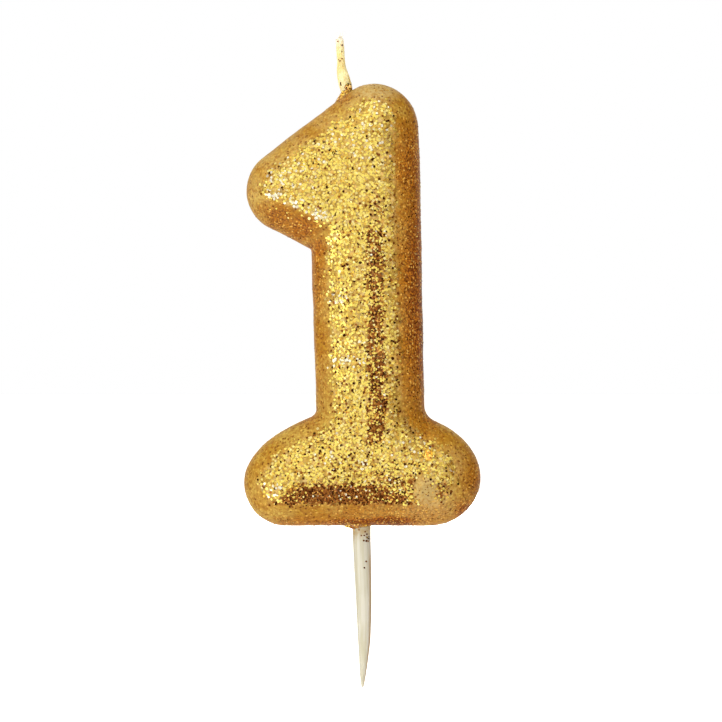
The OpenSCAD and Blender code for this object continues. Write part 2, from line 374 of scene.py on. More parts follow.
def glitter_mask(p):
    """1 where the face is thick with glitter, 0 on the rims, which only carry a haze of it."""
    inset, way = field.at(p[:, 0], p[:, 2])
    out = -way / np.maximum(np.hypot(way[:, 0], way[:, 1]), 1e-6)[:, None]
    side = smoothstep(inset, 9.0, 5.0)
    slope = smoothstep(out @ SLOPE_WAY, 0.80, 0.98)
    under_nose = smoothstep(out @ UNDER_NOSE_WAY, 0.75, 0.98) * (p[:, 2] > BODY_H / 2)
    below = smoothstep(-out[:, 1], 0.7, 1.0) * (p[:, 2] < BODY_H / 5)
    # How far inside the outline the glitter starts, which differs from side to side
    edge = 3.4 + side * (0.6 * out[:, 0] - 0.4 * out[:, 1] + 0.2 * slope
                         + 1.1 * under_nose - 0.1 * below)
    ragged = (0.55 * lumps(p, 1.3, 1) + 0.45 * lumps(p, 0.5, 2)) * (1 - 0.4 * below)
    spread = 0.9 - 0.45 * below - 0.4 * under_nose * side
    mask = smoothstep(inset + ragged, edge - spread, edge + spread)
    bare = np.hypot((p[:, 0] - BARE[0]) / BARE[2], (p[:, 2] - BARE[1]) / BARE[3]) + ragged * 0.4
    return mask * np.where(p[:, 1] < 0, smoothstep(bare, 0.65, 1.3), 1)


# The next lists are soft ellipses for blobs(): middle, half widths and strength.
# The next list is painted shade: where the lacquer is painted darker brown, mostly on the right-hand rims,
# under the nose and along the bottom
PAINTED_SHADE = [
    ((-2.6, 0.2), (3.0, 1.6), 1.0), ((0.5, 0.3), (10.5, 1.5), 0.95), ((4.5, 1.8), (13.0, 2.8), 0.45),
    ((4.5, 0.6), (6.0, 1.5), 1.0), ((-10.0, 0.5), (6.5, 1.4), 0.5), ((16.8, 2.2), (3.2, 2.8), 0.8),
    ((-7.6, 24.0), (2.4, 10.0), 0.25), ((10.9, 17.2), (2.0, 2.6), 0.55), ((-8.5, 17.4), (2.0, 2.0), 0.45),
    ((-7.4, 43.8), (2.0, 2.2), 0.7), ((-9.6, 47.0), (3.4, 2.6), 0.7), ((-13.0, 48.7), (3.2, 2.4), 0.6),
    ((-15.8, 49.6), (2.6, 1.8), 0.35), ((-3.0, 67.8), (1.6, 1.0), 0.5), ((9.8, 38.0), (5.0, 26.0), 0.85),
    ((10.2, 33.0), (2.2, 18.0), 1.0), ((20.0, 7.4), (4.4, 6.8), 0.6), ((-7.9, 38.5), (2.6, 8.0), 0.6),
    ((8.6, 57.0), (4.2, 9.0), 0.72)]
# The next list is where the lacquer is painted beige: wax clouding it round the bare patch on the foot, and
# painted sheen on the head's top, its slope and the nose's left end
MILK_AND_SHEEN = [
    ((1.8, 68.8), (4.6, 2.6), 0.9), ((-14.0, 57.5), (3.6, 2.8), 0.35), ((10.6, 5.4), (3.6, 3.6), 1.0),
    ((-10.2, 60.4), (3.2, 2.4), 0.35), ((-5.5, 63.8), (3.2, 2.2), 0.4), ((-1.0, 66.8), (3.2, 1.8), 0.4),
    ((14.4, 10.0), (2.6, 3.2), 0.35), ((10.5, 2.6), (5.0, 2.2), 0.5), ((-16.8, 53.5), (1.6, 3.0), 0.35)]
# DULL is where dark flakes gather round the bare patch, and STRAYS where small ones lie in it
DULL = [((12.6, 5.6), (2.4, 2.2), 0.45), ((3.4, 7.8), (4.0, 2.0), 0.4), ((7.2, 6.4), (3.2, 2.4), 0.5)]
STRAYS = [((10.4, 6.6), (2.8, 3.2), 1.0)]
# The next list is painted highlights: where flakes are made white as if they caught the light, with the
# share that is
PAINTED_GLINTS = [
    ((-13.8, 52.1), (2.0, 0.9), 0.8), ((-10.8, 50.7), (2.2, 1.1), 0.6), ((-7.3, 49.0), (2.2, 1.4), 0.6),
    ((-14.2, 5.8), (2.2, 1.4), 0.5), ((-3.8, 36.0), (2.4, 0.9), 0.4), ((-2.2, 26.0), (3.4, 1.2), 0.35),
    ((10.4, 17.6), (1.4, 1.4), 0.5), ((-11.0, 55.0), (5.0, 4.0), 0.16), ((3.0, 62.0), (5.0, 7.0), 0.09),
    ((-2.0, 5.2), (9.0, 1.6), 0.025), ((-5.5, 61.5), (3.0, 2.0), 0.06), ((8.0, 12.5), (3.0, 2.5), 0.08),
    ((0.0, 9.8), (9.0, 3.4), 0.05)]


def dark_flakes_and_shade(p):
    """Share of the flakes that lie dark: painted shade in a band across the foot, with a haze above it, and
    in one down the stem; a haze of dark flakes over the rest, thinner above the stem; and the dark flakes
    round the bare patch.
    """
    x, z = p[:, 0], p[:, 2]
    wave = lumps(p, 2.2, 21)
    # Painted shade: bands of dark flakes across the foot and down the stem
    top = 6.5 + 0.9 * wave + 0.4 * smoothstep(np.abs(x), 8, 3)
    foot = smoothstep(z, top + 1.4, top - 1.2) * smoothstep(x - z, -20.0, -14.5)
    foot *= smoothstep(x, 14, 0)
    haze = 0.17 * smoothstep(z, 15, 9) * smoothstep(np.abs(x - 1), 10, 5)
    haze = np.maximum(haze, 0.09 * smoothstep(z, 52, 46))
    middle = 2.2 + 0.6 * smoothstep(z, 44, 54) + 0.6 * lumps(p, 2.5, 23)
    stem = smoothstep(np.abs(x - middle), 2.1, 0.7) * smoothstep(z, 10, 15) * smoothstep(z, 58, 40)
    stem *= 0.6 + 0.4 * smoothstep(lumps(p * (0.6, 1, 1), 3.0, 22), -0.25, 0.25)
    return np.maximum.reduce([0.98 * foot, 0.84 * stem, haze + 0.05, blobs(p, DULL)])


body_v, body_f = body_mesh()
body_quads = quads_of(body_f)
body_n = normals_of(body_v, body_quads)
body_v = body_v + body_n * (0.07 * lumps(body_v, 4.0, 3) + 0.035 * lumps(body_v, 1.4, 4))[:, None]
body_n = normals_of(body_v, body_quads)
body_mask = glitter_mask(body_v)
body_dark = dark_flakes_and_shade(body_v)


# ---- node helpers ----

def add(tree, kind, inputs=None, **settings):
    """A node with its settings and inputs. An input's value is a socket to link, or a plain value."""
    node = tree.nodes.new(kind)
    for key, value in settings.items():
        setattr(node, key, value)
    for key, value in (inputs or {}).items():
        socket = node.inputs[key]
        if isinstance(value, bpy.types.NodeSocket):
            tree.links.new(value, socket)
        else:
            socket.default_value = value
    return node


def calc(tree, operation, a, b):
    """Sum or product of two values."""
    return add(tree, "ShaderNodeMath", {0: a, 1: b}, operation=operation).outputs[0]


def vector(tree, operation, inputs):
    """Result of a sum on vectors."""
    return add(tree, "ShaderNodeVectorMath", inputs, operation=operation).outputs[0]


def step(tree, value, low, high, to_low=0.0, to_high=1.0):
    """smoothstep() in nodes, from to_low to to_high."""
    return add(tree, "ShaderNodeMapRange", {"Value": value, "From Min": low, "From Max": high,
               "To Min": to_low, "To Max": to_high}, interpolation_type="SMOOTHSTEP").outputs[0]


def mix(tree, factor, a, b):
    """Colour a, or b where the factor is 1."""
    return add(tree, "ShaderNodeMix", {0: factor, 6: a, 7: b}, data_type="RGBA").outputs[2]


def attribute(tree, name):
    """A per-point value that make_mesh() has stored."""
    return add(tree, "ShaderNodeAttribute", attribute_name=name).outputs["Fac"]


def channels(tree, colour):
    """Red, green and blue of a colour, which for a cell's colour are three random numbers."""
    return add(tree, "ShaderNodeSeparateColor", {0: colour}).outputs


def rgb(code):
    """Linear colour of a hex code."""
    parts = [int(code[i:i + 2], 16) / 255 for i in (1, 3, 5)]
    return (*[c / 12.92 if c <= 0.04045 else ((c + 0.055) / 1.055) ** 2.4 for c in parts], 1.0)


def new_material(name):
    """Material, its node tree and shader, and the socket that says where a point is."""
    material = bpy.data.materials.new(name)
    material.use_nodes = True
    tree = material.node_tree
    shader = tree.nodes["Principled BSDF"]
    where = add(tree, "ShaderNodeTexCoord").outputs["Object"]
    return material, tree, shader, where


def cloud(tree, where, size_mm, detail=2.0, roughness=0.5, stretch=None):
    """Noise value, with lumps of that size."""
    if stretch:
        where = vector(tree, "MULTIPLY", {0: where, 1: stretch})
    return add(tree, "ShaderNodeTexNoise", {"Vector": where, "Scale": 1 / (size_mm * MM),
               "Detail": detail, "Roughness": roughness}).outputs["Fac"]


def cells(tree, where, size_mm):
    """Voronoi cells of that size: distance to the middle, and a random colour for each."""
    return add(tree, "ShaderNodeTexVoronoi", {"Vector": where, "Scale": 1 / (size_mm * MM)})


def bump(tree, height, depth_mm, normal=None):
    """Normal of a relief of that depth, over another normal where there is one."""
    inputs = {"Height": height, "Distance": depth_mm * MM, "Strength": 1.0}
    if normal is not None:
        inputs["Normal"] = normal
    return add(tree, "ShaderNodeBump", inputs).outputs[0]


def finish(tree, shader, links=None, **values):
    """Links sockets to the shader's inputs, and sets the inputs that are the same all over."""
    for key, socket in (links or {}).items():
        tree.links.new(socket, shader.inputs[key])
    for key, value in values.items():
        shader.inputs[key.replace("_", " ")].default_value = value


# ---- materials ----

def lacquer_material():
    """Gold lacquer over amber wax: a speckled rim, milky in places, with painted sheen and painted shade,
    and a tan ground under the glitter.
    """
    material, tree, shader, where = new_material("gold_lacquer")
    mask, pool, milk, dark = (attribute(tree, key) for key in ("glitter", "pool", "milk", "dark"))

    # The rim: clear and hazy patches, a fine mosaic of flakes deep in the lacquer, milky patches with
    # painted sheen, and painted shade
    haze = cloud(tree, where, 6.0, detail=3.0)
    rim = mix(tree, step(tree, haze, 0.40, 0.64), rgb("#9D7520"), rgb("#AD9141"))
    fine = cells(tree, where, 0.40)
    dark_cell, gold_cell, shine_cell = channels(tree, fine.outputs["Color"])
    rim = mix(tree, step(tree, dark_cell, 0.1, 0.9, 0.0, 0.55), rim, rgb("#7C4A10"))
    grain = cloud(tree, where, 0.45, detail=3.0, roughness=0.7)
    rim = mix(tree, step(tree, grain, 0.47, 0.66, 0, 0.52), rim, rgb("#6F3A06"))
    # Beige where wax clouds the lacquer by the bare patch, and painted sheen on the head and the nose
    milky = mix(tree, step(tree, milk, 0.9, 1.0), rgb("#AE9862"), rgb("#9C8654"))
    milk = calc(tree, "MULTIPLY", milk, step(tree, grain, 0.62, 0.42, 0.35, 0.95))
    rim = mix(tree, milk, rim, milky)
    # Painted shade: the rim is darkened to brown in patches, with a dark and a light mottle in them
    rim = mix(tree, pool, rim, rgb("#864B0A"))
    rim = mix(tree, step(tree, pool, 0.6, 1.0), rim, rgb("#703606"))
    rim = mix(tree, step(tree, pool, 0.86, 1.0), rim, rgb("#5E2C04"))
    run = cloud(tree, where, 0.30, detail=2.0, roughness=0.6)
    shade_dark_mottle = calc(tree, "MULTIPLY", pool, step(tree, run, 0.50, 0.60))
    shade_light_mottle = calc(tree, "MULTIPLY", pool, step(tree, run, 0.47, 0.37, 0, 0.8))
    rim = mix(tree, shade_dark_mottle, rim, rgb("#4E1E02"))
    rim = mix(tree, shade_light_mottle, rim, rgb("#BC7614"))
    dot = step(tree, fine.outputs["Distance"], 0.5, 0.25)
    brown_dot = calc(tree, "MULTIPLY", dot, step(tree, dark_cell, 0.80, 0.88, 0, 0.85))
    gold_dot = calc(tree, "MULTIPLY", dot, step(tree, gold_cell, 0.66, 0.80, 0, 0.75))
    gold_dot = calc(tree, "MULTIPLY", gold_dot, step(tree, pool, 0.0, 0.6, 0.6, 1.0))
    rim = mix(tree, brown_dot, rim, rgb("#4E2004"))
    rim = mix(tree, gold_dot, rim, rgb("#D0A24A"))

    # The ground under the glitter: tan, brown as painted shade, and a dark mosaic in the dark bands, which
    # are mostly painted shade
    ground = mix(tree, step(tree, cloud(tree, where, 1.3), 0.40, 0.62), rgb("#A3833C"), rgb("#B4995E"))
    ground = mix(tree, step(tree, gold_cell, 0.3, 0.9, 0, 0.6), ground, rgb("#C8A048"))
    # Painted shade: the ground is browner in the same patches
    ground = mix(tree, step(tree, pool, 0.12, 0.6, 0, 0.8), ground, rgb("#8E6018"))
    ground = mix(tree, brown_dot, ground, rgb("#54290C"))
    # Painted shade: a dark mosaic under the flakes in the dark bands
    small = channels(tree, cells(tree, where, 0.24).outputs["Color"])
    shade = mix(tree, step(tree, small[0], 0.3, 0.7), rgb("#8E5222"), rgb("#381A08"))
    shade = mix(tree, step(tree, small[1], 0.68, 0.80), shade, rgb("#D29C4A"))
    ground = mix(tree, step(tree, dark, 0.10, 0.60, 0, 0.95), ground, shade)
    colour = mix(tree, mask, rim, ground)

    # The deep flakes shine where their own tilt lets them
    tilt = vector(tree, "SUBTRACT", {0: fine.outputs["Color"], 1: (0.5, 0.5, 0.5)})
    tilt = vector(tree, "SCALE", {0: tilt, "Scale": step(tree, mask, 0.0, 1.0, 0.10, 0.35)})
    face = add(tree, "ShaderNodeNewGeometry").outputs["Normal"]
    flake_n = vector(tree, "NORMALIZE", {0: vector(tree, "ADD", {0: face, 1: tilt})})
    shiny = calc(tree, "MULTIPLY", step(tree, shine_cell, 0.45, 0.60, 0, 0.75),
                 step(tree, mask, 0.0, 1.0, 0.15, 1.0))
    rough = step(tree, shiny, 0.0, 0.75, 0.50, 0.30)
    finish(tree, shader, {"Base Color": colour, "Metallic": shiny, "Roughness": rough,
                          "Normal": bump(tree, grain, 0.03, flake_n)},
           Specular_IOR_Level=0.13, Coat_Weight=0.05, Coat_Roughness=0.15, Coat_IOR=1.4,
           Subsurface_Weight=0.10, Subsurface_Scale=0.001, Subsurface_Radius=(1.6, 0.8, 0.3))
    return material


def foil_material():
    """Metallised foil, by each flake's tone: brown below 0, which in the dark bands is painted shade, gold
    to pale up to 1, and white at 2, which is a painted highlight.
    """
    material, tree, shader, where = new_material("gold_foil")
    tone = attribute(tree, "tone")
    colour = mix(tree, step(tree, tone, 0.0, 0.35), rgb("#E0B048"), rgb("#FFE878"))
    colour = mix(tree, step(tree, tone, 0.72, 1.0), colour, rgb("#FFF0A8"))
    # Tone 2 paints a highlight: white foil
    colour = mix(tree, step(tree, tone, 1.0, 2.0), colour, rgb("#FFFBE4"))
    colour = mix(tree, step(tree, tone, 0.0, -0.35), colour, rgb("#9C5E2A"))
    colour = mix(tree, step(tree, tone, -0.4, -0.9), colour, rgb("#44200A"))
    scuff = cloud(tree, where, 0.12, detail=1.0)
    rough = step(tree, scuff, 0.35, 0.7, 0.16, 0.34)
    finish(tree, shader, {"Base Color": colour, "Roughness": rough}, Metallic=1.0)
    return material


def wax_material():
    """The amber wax under the coat."""
    material, tree, shader, where = new_material("amber_wax")
    colour = mix(tree, step(tree, cloud(tree, where, 3.0, 3.0), 0.35, 0.65), rgb("#C88F3A"), rgb("#DDB062"))
    height = cloud(tree, where, 0.8, 2.0)
    finish(tree, shader, {"Base Color": colour, "Roughness": step(tree, height, 0.3, 0.7, 0.42, 0.58),
                          "Normal": bump(tree, height, 0.03)},
           Subsurface_Weight=0.3, Subsurface_Scale=0.002, Subsurface_Radius=(1.6, 0.8, 0.3))
    return material


def cream_wax_material():
    """Primer wax: faintly marbled lemon cream, paler at the tip, yellower at the root."""
    material, tree, shader, where = new_material("cream_wax")
    height = add(tree, "ShaderNodeSeparateXYZ", {0: where}).outputs["Z"]
    tip = sheath_high[2] * MM
    marble = cloud(tree, where, 0.9, 2.0, stretch=(1.0, 1.0, 0.5))
    colour = mix(tree, step(tree, marble, 0.35, 0.65), rgb("#C2B076"), rgb("#CAC296"))
    colour = mix(tree, step(tree, height, tip - 2.2 * MM, tip - 0.2 * MM), colour, rgb("#C8BFA8"))
    colour = mix(tree, step(tree, height, tip - 7.8 * MM, tip - 8.8 * MM), colour, rgb("#BCA05C"))
    finish(tree, shader, {"Base Color": colour, "Roughness": step(tree, marble, 0.3, 0.7, 0.32, 0.5),
                          "Normal": bump(tree, marble, 0.05)},
           Subsurface_Weight=0.6, Subsurface_Scale=0.0015, Subsurface_Radius=(1.2, 1.1, 0.8))
    return material


def cotton_material():
    """White yarn with its fibres along the wick."""
    material, tree, shader, where = new_material("cotton")
    fibre = cloud(tree, where, 0.09, 3.0, stretch=(1.0, 1.0, 0.25))
    colour = mix(tree, step(tree, fibre, 0.35, 0.65), rgb("#E9E0C8"), rgb("#FFFDF5"))
    finish(tree, shader, {"Base Color": colour, "Roughness": step(tree, fibre, 0.3, 0.7, 0.75, 0.95),
                          "Normal": bump(tree, fibre, 0.04)}, Sheen_Weight=0.3)
    return material


def plastic_material():
    """Cream polystyrene with the long streaks that it flowed in, painted shade down one side, and a stain.
    """
    material, tree, shader, where = new_material("cream_plastic")
    streak = cloud(tree, where, 0.5, 3.0, stretch=(1.0, 1.0, 0.06))
    colour = mix(tree, step(tree, streak, 0.35, 0.65), rgb("#A5A18D"), rgb("#B2B0A4"))
    # Painted shade down the pick's right side
    colour = mix(tree, attribute(tree, "shade"), colour, rgb("#94784F"))
    blotch = step(tree, cloud(tree, where, 0.6, 2.0), 0.35, 0.6, 0.45, 1.0)
    stain = calc(tree, "MULTIPLY", attribute(tree, "stain"), blotch)
    colour = mix(tree, stain, colour, rgb("#94783A"))
    finish(tree, shader, {"Base Color": colour, "Roughness": step(tree, streak, 0.3, 0.7, 0.28, 0.42),
                          "Normal": bump(tree, streak, 0.012)},
           Subsurface_Weight=0.15, Subsurface_Scale=0.001, Subsurface_Radius=(1.2, 1.0, 0.6))
    return material


def bead_material(name, thin, thick):
    """Gathered lacquer, between its thin and its thick colour, with flakes deep in it."""
    material, tree, shader, where = new_material(name)
    deep = cells(tree, where, 0.3)
    picked = channels(tree, deep.outputs["Color"])
    colour = mix(tree, step(tree, cloud(tree, where, 0.7), 0.4, 0.6), rgb(thin), rgb(thick))
    colour = mix(tree, step(tree, picked[0], 0.6, 0.75, 0, 0.9), colour, rgb("#6E3408"))
    colour = mix(tree, step(tree, picked[1], 0.7, 0.8, 0, 0.9), colour, rgb("#E8C050"))
    finish(tree, shader, {"Base Color": colour, "Roughness": step(tree, picked[2], 0, 1, 0.2, 0.45),
                          "Normal": bump(tree, deep.outputs["Distance"], 0.05)},
           Coat_Weight=0.7, Coat_Roughness=0.08, Subsurface_Weight=0.2, Subsurface_Scale=0.001,
           Subsurface_Radius=(1.6, 0.8, 0.3))
    return material


# How far the wax lies under the surface of the lacquer
COAT_THICK = 0.3
lacquer = lacquer_material()
foil = foil_material()
# Painted shade on the lacquer, as a per-point attribute
body_pool = blobs(body_v, PAINTED_SHADE)
make_mesh("wax_core", body_v - COAT_THICK * body_n, body_f, wax_material(), "amber_wax",
          replaces=["wax_body"])
make_mesh("lacquer_skin", body_v, body_f, lacquer, "gold_lacquer", replaces=["glitter_coat"],
          glitter=body_mask, dark=body_dark, pool=body_pool, milk=blobs(body_v, MILK_AND_SHEEN))


# ---- glitter flakes ----

# How many flakes each face and the rim carry, their radius, their thickness and usual tilt
FACE_FLAKES, FACE_FLAKE_R = 9600, 0.212
RIM_FLAKES, RIM_FLAKE_R = 2200, 0.11
FLAKE_THICK, FLAKE_TILT = 0.03, 5.0
# The body's quads as triangles
body_t = np.vstack([body_quads[:, [0, 1, 2]], body_quads[:, [0, 2, 3]]])


def scatter(weight, count):
    """Points of the body's surface, as many per area as the per-vertex weight says."""
    a, b, c = (body_v[body_t[:, k]] for k in range(3))
    area = np.linalg.norm(np.cross(b - a, c - a), axis=1) * weight[body_t].mean(1)
    chosen = rng.choice(len(body_t), count, p=area / area.sum())
    u, v = rng.random((2, count))
    flip = u + v > 1
    u, v = np.where(flip, 1 - u, u)[:, None], np.where(flip, 1 - v, v)[:, None]
    tri = body_t[chosen]
    points, normals = ((1 - u - v) * s[tri[:, 0]] + u * s[tri[:, 1]] + v * s[tri[:, 2]]
                       for s in (body_v, body_n))
    return points, normals / np.linalg.norm(normals, axis=1)[:, None]


def flakes(name, points, normals, radius, tilt_deg, tone, lift=0.02, replaces=()):
    """Hexagonal foil flakes, each a thin closed prism, tilted at random from the surface."""
    n = len(points)
    lean = rng.normal(0, math.radians(tilt_deg), (n, 3)) * rng.choice([1, 2.2], (n, 1), p=[0.85, 0.15])
    up = normals + lean
    up /= np.linalg.norm(up, axis=1)[:, None]
    along = np.cross(up, rng.normal(size=(n, 3)))
    along /= np.linalg.norm(along, axis=1)[:, None]
    across = np.cross(up, along)
    size = radius * rng.normal(1, 0.13, n).clip(0.7, 1.35)
    corner = np.arange(6)
    a = np.radians(60 * corner)[None, :, None]
    flat = along[:, None] * np.cos(a) + across[:, None] * np.sin(a)
    centre = points + normals * (lift + rng.random((n, 1)) * 0.05)
    disc = centre[:, None] + flat * size[:, None, None]
    half = up[:, None] * FLAKE_THICK / 2
    verts = np.concatenate([disc - half, disc + half], 1)
    base = np.arange(n)[:, None] * 12
    faces = (base + corner[::-1]).tolist() + (base + corner + 6).tolist()
    for k in corner:
        after = (k + 1) % 6
        faces += (base + np.array([k, after, after + 6, k + 6])).tolist()
    make_mesh(name, verts.reshape(-1, 3), faces, foil, "gold_foil", smooth=False,
              replaces=replaces, tone=np.repeat(tone, 12))


def tones(dull, glint_share):
    """Brightness of each flake: -1 dark, 0 to 1 gold, 2 white as a painted highlight. The two arguments are
    the shares of dark flakes and of painted highlights.
    """
    n = len(dull)
    tone = np.where(rng.random(n) < dull, -0.22 - 0.78 * rng.random(n), rng.random(n))
    return np.where(rng.random(n) < glint_share, 2.0, tone)


# The faces' flakes lie in patches, and are small and crowded in the dark bands, which are mostly painted
# shade
patchy = np.clip(1 + 0.9 * lumps(body_v, 1.1, 5), 0.15, None) * (1 - body_dark) + 2.1 * body_dark
for name, side in (("flakes_front", -1), ("flakes_back", 1)):
    on_side = (body_n[:, 1] * side > 0.05) * body_mask * patchy
    p, n = scatter(on_side, FACE_FLAKES)
    # Dark flakes, mostly painted shade
    dull = dark_flakes_and_shade(p)
    # A few flakes all over, and more in the listed spots, are white painted highlights
    tone = tones(dull, 0.004 + blobs(p, PAINTED_GLINTS))
    flakes(name, p, n, FACE_FLAKE_R * (1 - 0.2 * dull), FLAKE_TILT, tone, replaces=["glitter_flakes"])

# The rim's flakes are small and deep, and lie thickest in the painted shade and on the right
rim_haze = (1 - body_mask) * (0.3 + 0.7 * np.clip(lumps(body_v, 2.5, 6), 0, 1)) * (1.3 + body_n[:, 0])
p, n = scatter(rim_haze + 2.0 * body_pool + 1.2 * blobs(body_v, STRAYS), RIM_FLAKES)
# Where the shade is painted, and among the strays, the rim flakes' tones spread wider
contrast = np.maximum(blobs(p, PAINTED_SHADE), blobs(p, STRAYS))
is_bright = rng.random(RIM_FLAKES) < 0.35
bright = 0.2 + (0.5 + 0.5 * contrast) * rng.random(RIM_FLAKES)
dull = -0.05 - (0.25 + 0.4 * contrast) * rng.random(RIM_FLAKES)
flakes("flakes_rim", p, n, RIM_FLAKE_R, FLAKE_TILT, np.where(is_bright, bright, dull), lift=-0.02)


# ---- wick ----

# Where the wick leaves the slope of the numeral, its cut tip and its lower end in the wax
ROOT_X, ROOT_Z = -2.3, BODY_H - 1.7
TIP_Z = sheath_high[2] + 0.9
FOOT_Z = sheath_low[2]
# Length after which the plait repeats, and how far a ply swings sideways, and fore and aft
PITCH = 4.5
SWING_X, SWING_Y = 0.35, 0.215
STRAND_R = 0.175
# Half widths of the sheath, sideways and fore and aft, and how much of its collar goes each way
SHEATH_X, SHEATH_Y = 0.64, 0.56
COLLAR_X, COLLAR_Y = 1, 0.6


def wick_x(z):
    """The wick leans a little inside the wax, and bends left just above its root."""
    return ROOT_X - 0.055 * (z - ROOT_Z) - 0.75 / (1 + np.exp((BODY_H + 0.4 - z) / 0.9))


def collar_at(z):
    """How much thicker the sheath is round its root."""
    return 0.42 * np.exp(-((z - BODY_H - 0.2) / 1.9) ** 2)


def sheath():
    """The wax round the plait: thicker at the root, lumpy where plies push it out, domed on top."""
    top = sheath_high[2]
    hidden, seen = np.linspace(FOOT_Z, BODY_H - 4, 30), np.arange(BODY_H - 3.9, top, 0.16)
    z = np.concatenate([hidden, seen])[:, None]
    a = turns(40)[None]
    collar = collar_at(z)
    plies = 1 + 0.035 * np.cos(2 * a - 2 * math.pi * z / PITCH * 1.5) * (1 - collar)
    dome = np.sqrt(np.clip(1 - smoothstep(z, top - 0.5, top + 0.15) ** 2 * 0.5, 0, 1))
    x = wick_x(z) + (SHEATH_X + COLLAR_X * collar) * np.cos(a) * plies * dome
    y = (SHEATH_Y + COLLAR_Y * collar) * np.sin(a) * plies * dome
    rings = np.stack([x, y, np.broadcast_to(z, x.shape)], 2)
    flat = rings.reshape(-1, 3)
    middle_line = np.stack([wick_x(flat[:, 2]), 0 * flat[:, 2], flat[:, 2]], 1)
    outward = flat - middle_line
    swell = 1 + 0.07 * lumps(flat, 1.1, 8) + 0.03 * lumps(flat, 0.4, 9)
    return loft((middle_line + outward * swell[:, None]).reshape(rings.shape))


def ply(phase, drop):
    """One ply of the plait: a ribbed strand that swings once sideways a pitch, and twice fore
    and aft. Drop is how much lower than the wick's tip it is cut."""
    z = np.arange(FOOT_Z + 0.3, TIP_Z - drop, PITCH / 40)[:, None]
    a = turns(15)[None]
    t = 2 * math.pi * z / PITCH + math.radians(phase)
    r = STRAND_R * (1 + 0.1 * np.cos(5 * a + 9 * z))
    x = wick_x(z) + SWING_X * np.sin(t) + r * np.cos(a)
    y = SWING_Y * np.sin(2 * t) + r * np.sin(a)
    return loft(np.stack([x, y, np.broadcast_to(z, x.shape)], 2))


def hairs(count, length, radius, stations=6, corners=5):
    """Loose fibres of the cut end, each a thin tapering tube, as one mesh."""
    verts, faces = [], []
    t = np.linspace(0, 1, stations)
    a = turns(corners)
    base_z = TIP_Z - 0.7
    for hair in range(count):
        start = np.array([wick_x(base_z) + rng.normal(0, 0.26), rng.normal(0, 0.2), base_z])
        lean = rng.normal(0, 0.22, 2)
        curl = rng.normal(0, 0.25, 2)
        rise = length * rng.uniform(0.6, 1.25)
        sway = lean[:, None] * t + curl[:, None] * t ** 2
        line = start + np.stack([*sway, t * rise], 1)
        r = radius * (1 - 0.6 * t)
        tube = np.stack([np.outer(r, np.cos(a)), np.outer(r, np.sin(a)), np.zeros((stations, corners))], 2)
        v, f = loft(line[:, None] + tube)
        faces += [[i + hair * len(v) for i in face] for face in f]
        verts.append(v)
    return np.concatenate(verts), faces


cotton = cotton_material()
cream_wax = cream_wax_material()
make_mesh("wick_sheath", *sheath(), cream_wax, "cream_wax", replaces=["wick_wax"])
for letter, phase, drop in (("a", 0, 0.0), ("b", 120, 0.3), ("c", 240, 0.15)):
    make_mesh(f"wick_strand_{letter}", *ply(phase, drop), cotton, "cotton",
              replaces=[f"wick_ply_{letter}"])
make_mesh("wick_hairs", *hairs(34, 0.85, 0.022), cotton, "cotton")


# ---- pick ----

# Radii of the hidden shank: its end, its core and its rings
SHANK_END_R, SHANK_R, RING_R = 0.66, 1.1, 1.5
# Height, middle and half width of the spike in the front view, where it bows to the right
SPIKE = np.array([
    (0.0, -0.03, 1.40), (-2.0, -0.05, 1.42), (-6.0, 0.08, 1.37), (-11.7, 0.27, 1.23),
    (-15.0, 0.33, 1.12), (-18.1, 0.35, 0.98), (-20.6, 0.28, 0.76), (-23.1, 0.16, 0.53),
    (-24.8, 0.10, 0.31), (-25.4, 0.09, 0.18), (-25.6, 0.08, 0.06)])
# Depth of the spike as a share of its width
SPIKE_FLAT = 0.96


def spike_at(z):
    """Place of the middle and half width of the spike at a height."""
    up = SPIKE[::-1]
    return np.interp(z, up[:, 0], up[:, 1]), np.interp(z, up[:, 0], up[:, 2])


def spike():
    """Shank with its saw-tooth rings, then the spike with a parting line down each side."""
    shank = [(pick_high[2], SHANK_END_R), (pick_high[2] - 0.7, SHANK_R)]
    for top in (pick_high[2] - 2, pick_high[2] - 5, pick_high[2] - 8):
        shank += [(top + 0.3, SHANK_R), (top, RING_R), (top - 1, SHANK_R)]
    shank += [(0.05, SHANK_R)]
    heights = np.linspace(0, SPIKE[-1, 0], 130)
    middle_x, half = spike_at(heights)
    soft = np.ones(9) / 9
    middle_x[4:-4] = np.convolve(middle_x, soft, "valid")
    half[4:-4] = np.convolve(half, soft, "valid")
    a = turns(72)
    seam = 1 + 0.012 * (np.exp(-(np.sin(a / 2) / 0.05) ** 2) + np.exp(-(np.cos(a / 2) / 0.05) ** 2))
    rings = [np.stack([r * np.cos(a), r * np.sin(a), np.full(len(a), z)], 1) for z, r in shank]
    for z, m, r in zip(heights, middle_x, half):
        x, y = m + r * seam * np.cos(a), SPIKE_FLAT * r * seam * np.sin(a)
        rings.append(np.stack([x, y, np.full(len(a), z)], 1))
    verts, faces = loft(rings[::-1])

    # Painted shade darkens the right side, and lacquer has stained the left of the top
    turn = np.tile(np.cos(a), len(rings))
    z = verts[:, 2]
    shade = smoothstep(turn, 0.62, 0.85) * 0.75 * smoothstep(z, -3.5, -6)
    shade += smoothstep(turn, 0.9, 1) * 0.4
    stain = np.maximum(smoothstep(turn, -0.45, -0.9) * smoothstep(z, -3.4, -0.8),
                       0.75 * smoothstep(z, -2.6, -0.3))
    return verts, faces, np.clip(shade, 0, 1), stain


spike_v, spike_f, spike_shade, spike_stain = spike()
make_mesh("pick_spike", spike_v, spike_f, plastic_material(), "cream_plastic", replaces=["pick"],
          shade=spike_shade, stain=spike_stain)


# ---- lacquer that ran or gathered while it was wet ----

